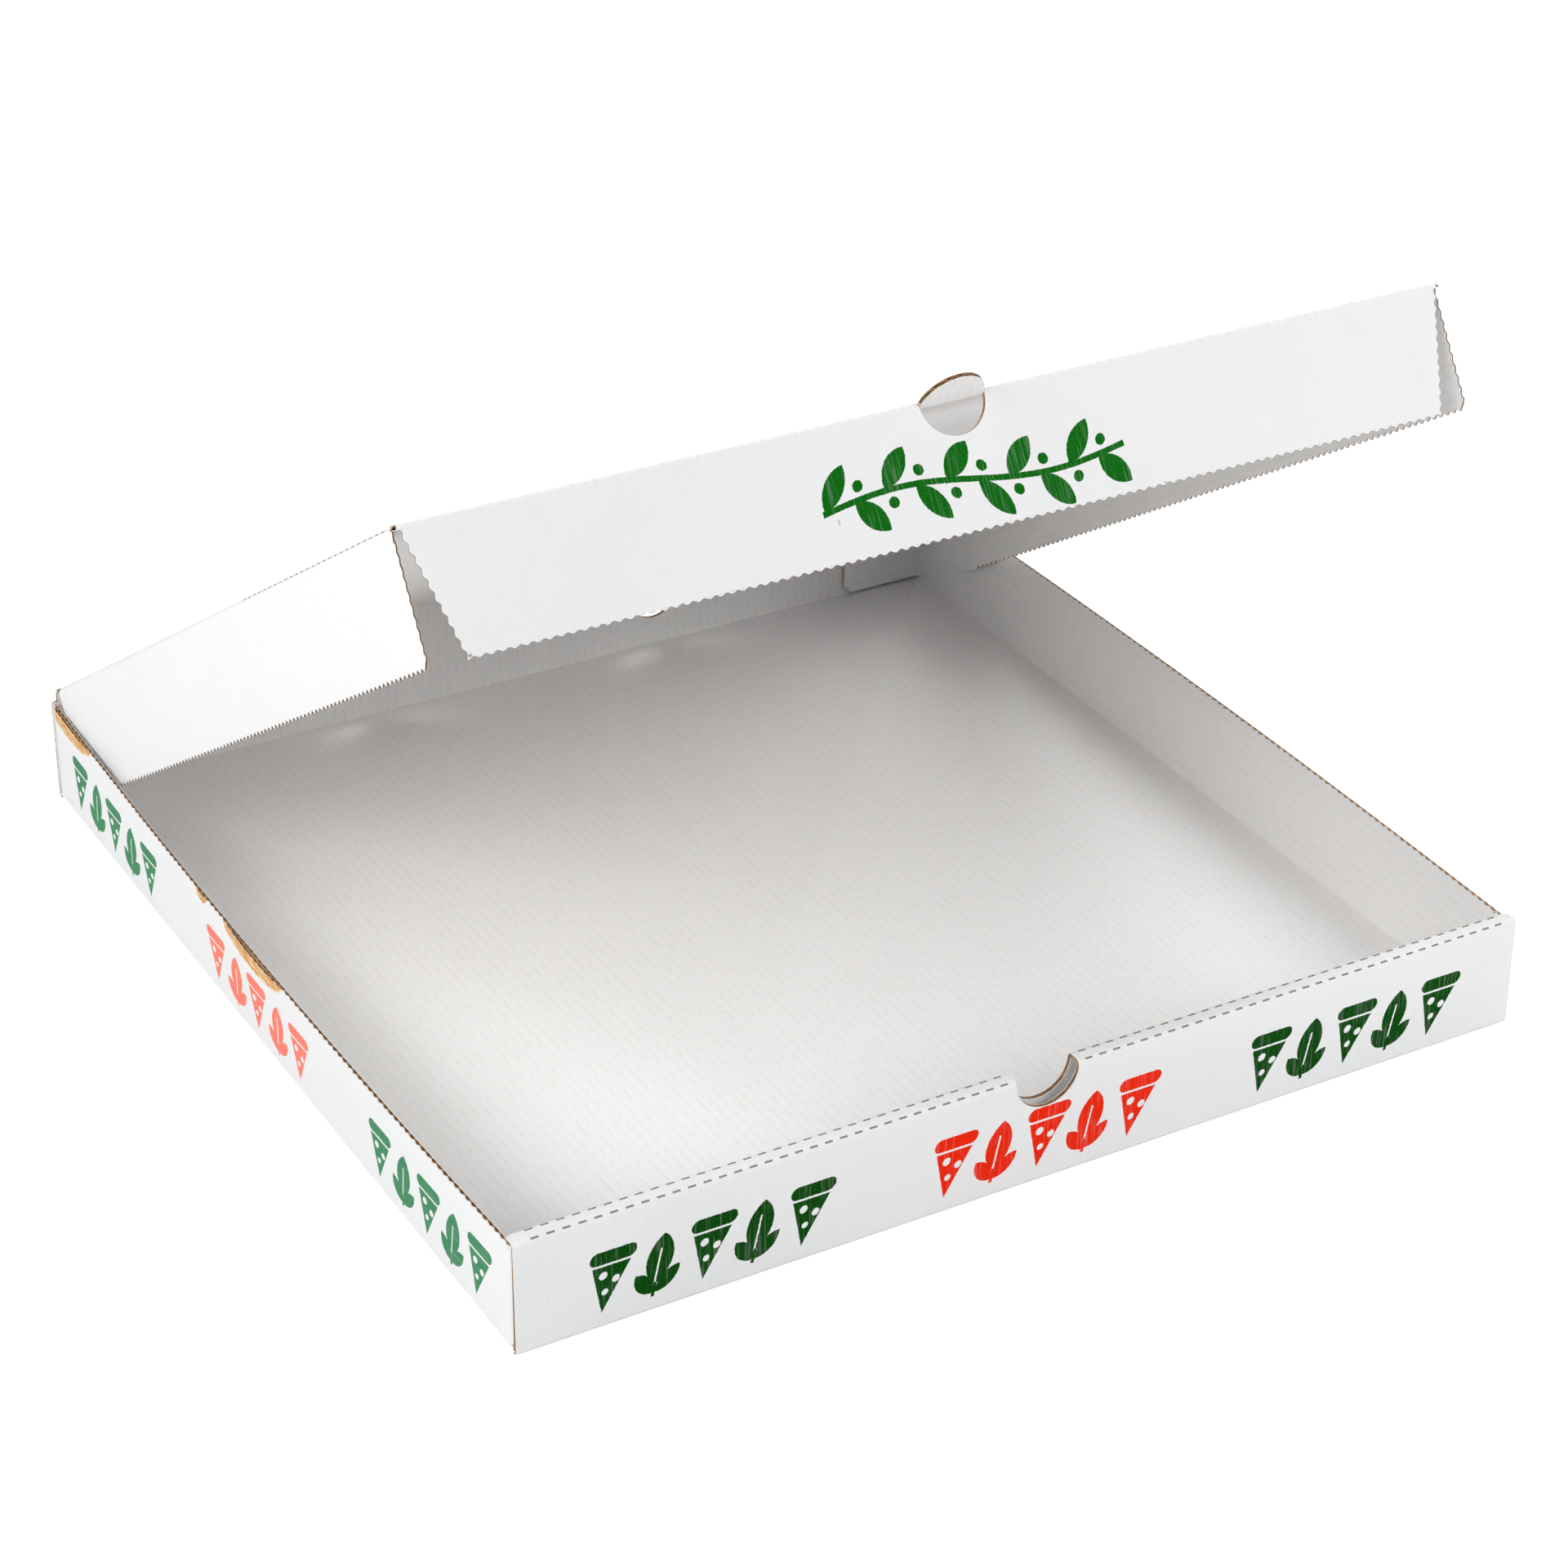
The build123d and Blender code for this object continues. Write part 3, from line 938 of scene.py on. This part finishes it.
ink, given, put = new_group("streaked_ink", {"Blank": "Vector", "Distance": "Float"}, ["Cover"])
u, v = u_and_v(given["Blank"])
grain = noise_at(u * 2.2, v * 1.1, 6.0)
starved = noise_at(u * 1.9, v * 0.07, 7.0).fade(0.52, 0.68)
printed = (given["Distance"] + (grain - 0.5) * 0.45).fade(0.08, -0.08)
streaks = starved * -0.09 + 1.0
specks = grain.fade(0.60, 0.72) * -0.05 + 1.0
put("Cover", printed * streaks * specks)
print("Effects:", [group.name for group in bpy.data.node_groups])

# %% [markdown]
# ## The print
#
# The print is a plain ornament: rows of pizza slices and basil leaves on the
# walls, and a leafy sprig on the front flap. A shape is written as the
# distance to its edge, negative inside, so two shapes join with a minimum and
# one is cut from another with a maximum.

# %% Shapes for print


def disc(s, t, centre_s, centre_t, radius):
    return (s - centre_s).length(t - centre_t) - radius


def leaf(s, t, centre_s, centre_t, half_length, half_width, lean):
    """A pointed leaf between two arcs, turned by lean degrees."""
    cosine, sine = math.cos(math.radians(lean)), math.sin(math.radians(lean))
    s, t = s - centre_s, t - centre_t
    along = s * cosine + t * sine
    across = abs(t * cosine - s * sine)
    radius = (half_length**2 + half_width**2) / (2 * half_width)
    return along.length(across + (radius - half_width)) - radius


def bar(s, t, half_length, centre_t, half_height):
    """A level bar with round ends."""
    return ((abs(s) - half_length).high(0.0)).length(t - centre_t) - half_height


def cell_of(s, size):
    """Splits a run into cells: (distance from the cell's middle, 1 in odd cells and 0 in even ones)."""
    number = (s * (1 / size)).math("FLOOR")
    return s - number * size - size / 2, number.math("MODULO", 2.0)


def outside_span(s, length):
    """How far s lies outside a span that starts at 0."""
    return abs(s - length / 2) - length / 2


print("Shapes for print: disc, leaf and bar")

# %% [markdown]
# ## A row of slices and leaves
#
# A row is five cells in which a slice and a basil leaf take turns, all leaning
# a little. Lengths are in millimetres, from the middle of the cell and from
# the foot of the row. A leaf is its middle, half its length and width, and its
# turn in degrees, and a disc is its middle and radius.

# %% Row of slices
ROW_LENGTH, ROW_HEIGHT, ROW_LEAN = 77.0, 21.0, 0.22
CELLS = 5
CRUST = (5.0, 18.4, 2.1)
WEDGE_TIP, WEDGE_TOP, WEDGE_FLARE = 0.6, 15.6, (0.93, 0.365)
TOPPINGS = ((-1.9, 12.6, 1.25), (2.3, 10.6, 1.15), (-0.3, 7.2, 1.0))
TALL_LEAF = (0.0, 12.2, 8.0, 4.1, 90)
LOW_LEAVES = ((-3.6, 5.2, 4.8, 2.3, 132), (3.6, 5.2, 4.8, 2.3, 48))
slices, given, put = new_group("row_of_slices", {"Along": "Float", "Up": "Float"}, ["Distance"])
t = given["Up"]
s = given["Along"] - (t - ROW_HEIGHT / 2) * ROW_LEAN
cell, odd = cell_of(s, ROW_LENGTH / CELLS)
crust = bar(cell, t, *CRUST)
wedge = (abs(cell) * WEDGE_FLARE[0] - (t - WEDGE_TIP) * WEDGE_FLARE[1]).high(t - WEDGE_TOP)
for topping in TOPPINGS:
    wedge = wedge.high(disc(cell, t, *topping) * -1.0)
slice_shape = crust.low(wedge)
vein = (abs(cell + 0.2) - 0.28).high(t - 15.5)
basil = leaf(cell, t, *TALL_LEAF).high(vein * -1.0)
for low_leaf in LOW_LEAVES:
    basil = basil.low(leaf(cell, t, *low_leaf))
stalk = (abs(cell) - 0.55).high(t - 5.0).high(t * -1.0 + 0.4)
either = slice_shape * (odd * -1.0 + 1.0) + basil.low(stalk) * odd
put("Distance", either.high(outside_span(s, ROW_LENGTH).high(outside_span(t, ROW_HEIGHT))))
print("A row is", ROW_LENGTH, "mm long and", ROW_HEIGHT, "mm high")

# %% [markdown]
# ## A leafy sprig
#
# The sprig's stem is a slow wave, so its leaves and berries are placed by
# their distance from the stem instead of from a level line. Every other cell
# is turned over, which sets the leaves on both sides in turn.

# %% Sprig
SPRIG_LENGTH, LEAF_STEP = 95.0, 9.5
STEM_SWAY, STEM_HALF = 2.6, 0.85
SPRIG_LEAF, BERRY = (0.2, 5.4, 6.6, 3.1, 50), (-2.2, 3.6, 1.6)
BERRY_INSET = 4.0
sprig, given, put = new_group("leafy_sprig", {"Along": "Float", "Up": "Float"}, ["Distance"])
s, t = given["Along"], given["Up"]
past_end = outside_span(s, SPRIG_LENGTH)
from_stem = t - (s * (2 * math.pi / SPRIG_LENGTH)).math("SINE") * STEM_SWAY
stem = (abs(from_stem) - STEM_HALF).high(past_end)
cell, odd = cell_of(s, LEAF_STEP)
turned = from_stem * (odd * -2.0 + 1.0)
leaves = leaf(cell, turned, *SPRIG_LEAF).high(past_end)
berries = disc(cell, turned * -1.0, *BERRY).high(past_end + BERRY_INSET)
put("Distance", stem.low(leaves).low(berries))
print("The sprig is", SPRIG_LENGTH, "mm long")

# %% [markdown]
# ## Board finishes
#
# White-lined board is bleached paper over brown kraft. The outside is a little
# smoother than the inside. The fluting stays brown, and a cut edge is part white
# and part brown. A dent is painted dark grey: painted shade in its groove. The
# Principled shader sits in each material, and its gloss settings are plain numbers.

# %% Materials
WHITE_OUTSIDE = (0.855, 0.858, 0.862)
WHITE_INSIDE = (0.89, 0.878, 0.868)
# The grey of the painted shade in the flute dips.
DIP_SHADE_GREY = (0.52, 0.50, 0.48)
KRAFT_BROWN = (0.50, 0.30, 0.15)
KRAFT_DARK = (0.32, 0.17, 0.08)
EDGE_PALE = (0.80, 0.78, 0.75)
EDGE_TAN = (0.62, 0.52, 0.42)
# A dent's two colours are painted shade in the groove of the dent.
SCORE_SHADE_GREY = (0.36, 0.35, 0.34)
SCORE_SHADE_BROWN = (0.30, 0.25, 0.20)
PEELED_ORANGE = (0.68, 0.33, 0.10)
PEELED_PALE = (0.86, 0.62, 0.36)
LINER_GLOSS, EDGE_GLOSS = 0.04, 0.2
CLOUDINESS, GRAIN_HEIGHT, KRAFT_GRAIN_HEIGHT = 0.12, 0.010, 0.05
OUTSIDE_LOOK = {"roughness": 0.55, "dip_shade_share": 0.04, "washboard": 0.018}
INSIDE_LOOK = {"roughness": 0.65, "dip_shade_share": 0.16, "washboard": 0.030}
finishes_made = {}


def place_group(tree, group, **links):
    """Places a group with its inputs linked, and gives its outputs by name."""
    node = tree.nodes.new("ShaderNodeGroup")
    node.node_tree = group
    for label, field in links.items():
        tree.links.new(field.socket, node.inputs[label])
    return {output.name: Field(tree, output) for output in node.outputs if output.name}


def mix(tree, share, first, second):
    """A colour between first and second, each a colour or a field."""
    node = tree.nodes.new("ShaderNodeMix")
    node.data_type = "RGBA"
    tree.links.new(share.socket, node.inputs["Factor"])
    for label, value in (("A", first), ("B", second)):
        socket = next(i for i in node.inputs if i.name == label and i.type == "RGBA")
        if isinstance(value, Field):
            tree.links.new(value.socket, socket)
        else:
            socket.default_value = (*value, 1.0)
    return Field(tree, next(o for o in node.outputs if o.type == "RGBA"))


def new_finish(name, roughness, specular):
    """A material with plain gloss: (its node tree, its shader, the flat place as a field)."""
    material = bpy.data.materials.new(name)
    material.use_nodes = True
    tree = material.node_tree
    shader = tree.nodes["Principled BSDF"]
    shader.inputs["Roughness"].default_value = roughness
    shader.inputs["Specular IOR Level"].default_value = specular
    place = tree.nodes.new("ShaderNodeUVMap")
    place.uv_map = "blank"
    finishes_made[name] = material
    return tree, shader, Field(tree, place.outputs["UV"])


def bump(tree, shader, height):
    """Presses a height in millimetres into the shader's normal."""
    node = tree.nodes.new("ShaderNodeBump")
    node.inputs["Strength"].default_value = 1.0
    node.inputs["Distance"].default_value = MM
    tree.links.new(height.socket, node.inputs["Height"])
    tree.links.new(node.outputs["Normal"], shader.inputs["Normal"])


def white_finish(name, base, roughness, dip_shade_share, washboard, print_at=None, peeled_at=None):
    """White liner. From (u, v), print_at gives (distance, ink) and peeled_at gives (mask, streaks)."""
    tree, shader, blank = new_finish(name, roughness, LINER_GLOSS)
    under = place_group(tree, flutes, Blank=blank)
    sheet = place_group(tree, paper, Blank=blank)
    # Painted shade in the flute dips, added to the paper's cloudy tone.
    dip_shade_and_clouds = under["Lines"] * dip_shade_share + (sheet["Clouds"] - 0.5) * CLOUDINESS
    colour = mix(tree, dip_shade_and_clouds.high(0.0), base, DIP_SHADE_GREY)
    if print_at:
        distance, ink_colour = print_at(*u_and_v(blank))
        cover = place_group(tree, ink, Blank=blank, Distance=distance)["Cover"]
        colour = mix(tree, cover, colour, ink_colour)
    if peeled_at:
        mask, streaks = peeled_at(*u_and_v(blank))
        colour = mix(tree, mask, colour, mix(tree, streaks, PEELED_ORANGE, PEELED_PALE))
    tree.links.new(colour.socket, shader.inputs["Base Color"])
    bump(tree, shader, under["Washboard"] * washboard + sheet["Grain"] * GRAIN_HEIGHT)


def mottled_finish(name, roughness, specular, first, second, fade):
    """Bare paper in two colours that the grain mixes."""
    tree, shader, blank = new_finish(name, roughness, specular)
    sheet = place_group(tree, paper, Blank=blank)
    colour = mix(tree, sheet["Grain"].fade(*fade), first, second)
    tree.links.new(colour.socket, shader.inputs["Base Color"])
    return tree, shader, sheet, colour


white_finish("white_outside", WHITE_OUTSIDE, **OUTSIDE_LOOK)
white_finish("white_inside", WHITE_INSIDE, **INSIDE_LOOK)
mottled_finish("cut_edge", 0.8, EDGE_GLOSS, EDGE_PALE, EDGE_TAN, (0.42, 0.62))
# The score finish is painted shade: the dark grey and brown of a dent's groove.
mottled_finish("score", 0.9, 0.0, SCORE_SHADE_GREY, SCORE_SHADE_BROWN, (0.35, 0.65))
brown = (KRAFT_DARK, KRAFT_BROWN, (0.35, 0.65))
tree, shader, sheet, mottled = mottled_finish("kraft", 0.85, EDGE_GLOSS, *brown)
clouded = mix(tree, sheet["Clouds"] * 0.5 + 0.5, mottled, KRAFT_BROWN)
tree.links.new(clouded.socket, shader.inputs["Base Color"])
bump(tree, shader, sheet["Grain"] * KRAFT_GRAIN_HEIGHT)
print("Finishes:", sorted(finishes_made))

# %% [markdown]
# ## Printed walls and flap
#
# The walls and the front flap have their print laid out on the flat sheet,
# where u and v are plain distances. On the side walls the ink is painted paler
# than on the front, as painted light for the strong light that falls on them.
# The left wall also shows where its paper is peeled.

# %% Printed finishes
FRONT_GREEN, FRONT_RED = (0.0, 0.062, 0.0), (0.86, 0.020, 0.0)
# The side-wall inks are the same print painted paler: painted light where strong light falls on the side
# walls.
SIDE_GREEN_PAINTED_LIGHT, SIDE_RED_PAINTED_LIGHT = (0.055, 0.26, 0.115), (0.95, 0.23, 0.16)
FLAP_GREEN = (0.0, 0.135, 0.002)
FRONT_ROWS = (20.0, 107.5)
SIDE_ROWS = (16.0, 117.0)
ROW_FOOT = 4.8
SPRIG_START, SPRIG_UP = 118.0, 22.5
PEELED_FRINGE = 2.6


def three_rows(along, up, first, pitch, outer_ink, middle_ink):
    """Three rows of slices, with another ink in the middle one."""
    number = ((along - first) * (1 / pitch)).math("FLOOR").high(0.0).low(2.0)
    fields = {"Along": along - first - number * pitch, "Up": up - ROW_FOOT}
    in_middle = number * (number * -1.0 + 2.0)
    distance = place_group(along.tree, slices, **fields)["Distance"]
    return distance, mix(along.tree, in_middle, outer_ink, middle_ink)


def front_print(u, v):
    up = v * -1.0 - (END_FOLD + ARC - BEND)
    return three_rows(u + HALF_WIDTH, up, *FRONT_ROWS, FRONT_GREEN, FRONT_RED)


def left_print(u, v):
    up = u * -1.0 - (SIDE_FOLD + ARC - BEND)
    return three_rows(v * -1.0 + BACK, up, *SIDE_ROWS, SIDE_GREEN_PAINTED_LIGHT, SIDE_RED_PAINTED_LIGHT)


def left_peeled(u, v):
    """Where the white paper is peeled off: a ragged patch under the top edge for each place in PEELED."""
    below_top = u + side_u(SIDE_TOP)
    from_rear = v * -1.0 + BACK
    rough = noise_at(u * 0.9, v * 0.9, 8.0, detail=3.0) - 0.5
    mask = None
    for start, end, depth in PEELED:
        middle, half = (start + end) / 2, (end - start) / 2
        across = ((from_rear - middle) * (1 / half)).power(2.0) * -1.0 + 1.0
        inside = across.high(0.0).power(0.5) * depth + rough * PEELED_FRINGE - below_top
        patch = inside.fade(-0.15, 0.25)
        mask = patch if mask is None else mask.high(patch)
    return mask, noise_at(u * 1.6, v * 0.15, 9.0).fade(0.45, 0.62)


def right_print(u, v):
    up = u - (SIDE_FOLD + ARC - BEND)
    return three_rows(v + BACK, up, *SIDE_ROWS, SIDE_GREEN_PAINTED_LIGHT, SIDE_RED_PAINTED_LIGHT)


def flap_print_at(u, v):
    fields = {"Along": u + HALF_LID - SPRIG_START, "Up": v - CREASE_Y + SPRIG_UP}
    return place_group(u.tree, sprig, **fields)["Distance"], FLAP_GREEN


for name, print_at, peeled_at in (
    ("printed_front_wall", front_print, None),
    ("printed_left_wall", left_print, left_peeled),
    ("printed_right_wall", right_print, None),
    ("printed_front_flap", flap_print_at, None),
):
    white_finish(name, WHITE_OUTSIDE, **OUTSIDE_LOOK, print_at=print_at, peeled_at=peeled_at)
for piece in (tray_board, lid_board, front_flap_board):
    for name in finishes[piece.name]:
        piece.data.materials.append(finishes_made[name])
    print(piece.name, "wears", [material.name for material in piece.data.materials])

# %% [markdown]
# ## Riding on the frame
#
# Each folded board stands for one CAD solid and moves with that solid's body.
# The lid turns about its fold line and so does the front flap, and both ends
# meet inside the rounded crease, so no fold tears open at any angle.

# %% Pieces and bodies
for piece, body, node, slot in (
    (tray_board, "tray", "tray", "tray_board"),
    (lid_board, "lid", "lid", "lid_board"),
    (front_flap_board, "lid_front_flap", "lid_front_flap", "front_flap_board"),
):
    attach(piece, body)
    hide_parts(node)
    low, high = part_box(node)
    print(piece.name, "stands for", node, [round(x, 4) for x in (*low, *high)])

# %% [markdown]
# ## Floor, background and light
#
# The photographed box stands on white in a ring of soft light. Much of the
# light comes low from the front and the left, which is how it reaches the
# floor of the box under the lid. One lamp behind on the right throws the
# shadow along the right wall. The floor is a real surface, so that it keeps
# the shadow of the box.

# %% Stage
FLOOR_HALF, FLOOR_DROP = 6.0, 0.0004
FLOOR_WHITE, FLOOR_GLOW = 0.90, 0.55
floor_mesh = bmesh.new()
bmesh.ops.create_grid(floor_mesh, x_segments=1, y_segments=1, size=FLOOR_HALF)
floor = mesh_object("floor", floor_mesh)
floor.location.z = -FLOOR_DROP
floor_paint = bpy.data.materials.new("pale_floor")
floor_paint.use_nodes = True
tree = floor_paint.node_tree
shader = tree.nodes["Principled BSDF"]
shader.inputs["Base Color"].default_value = (FLOOR_WHITE, FLOOR_WHITE, FLOOR_WHITE, 1)
shader.inputs["Roughness"].default_value = 0.9
shader.inputs["Specular IOR Level"].default_value = 0.0
seen = tree.nodes.new("ShaderNodeLightPath")
shader.inputs["Emission Color"].default_value = (1, 1, 1, 1)
glow = Field(tree, seen.outputs["Is Camera Ray"]) * FLOOR_GLOW
tree.links.new(glow.socket, shader.inputs["Emission Strength"])
floor.data.materials.append(floor_paint)

world = bpy.data.worlds.new("white_room")
bpy.context.scene.world = world
world.use_nodes = True
tree = world.node_tree
seen = tree.nodes.new("ShaderNodeLightPath")
background = tree.nodes["Background"]
background.inputs["Color"].default_value = (1, 1, 1, 1)
tree.links.new(seen.outputs["Is Camera Ray"], background.inputs["Strength"])

SOFTBOX_SIZE, SOFTBOX_DISTANCE = 0.8, 1.9


def softbox(name, azimuth, elevation, power):
    """A square lamp that faces the box. Azimuth 0 is in front of it and 90 on its left."""
    turn, rise = math.radians(azimuth), math.radians(elevation)
    toward = Vector((-math.sin(turn) * math.cos(rise), -math.cos(turn) * math.cos(rise), math.sin(rise)))
    lamp_data = bpy.data.lights.new(name, "AREA")
    lamp_data.shape = "SQUARE"
    lamp_data.size, lamp_data.energy = SOFTBOX_SIZE, power
    lamp = bpy.data.objects.new(name, lamp_data)
    lamp.location = toward * SOFTBOX_DISTANCE
    lamp.rotation_euler = (-toward).to_track_quat("-Z", "Y").to_euler()
    lamp.visible_camera = False
    bpy.context.scene.collection.objects.link(lamp)


for lamp in (
    ("left", 90, 30, 8.5),
    ("front_left", 60, 31, 11.0),
    ("front", -25, 28, 3.4),
    ("high_front", 20, 62, 3.8),
    ("front_right", -50, 28, 17.2),
    ("rear_right", -130, 50, 11.6),
    ("rear_left", 120, 40, 9.5),
):
    softbox(*lamp)
bpy.context.scene.view_settings.view_transform = "Standard"

# %% [markdown]
# ## The last update
#
# The view layer is updated once more. Folding by formula should land each
# wall where the imported model has it.

bpy.context.view_layer.update()
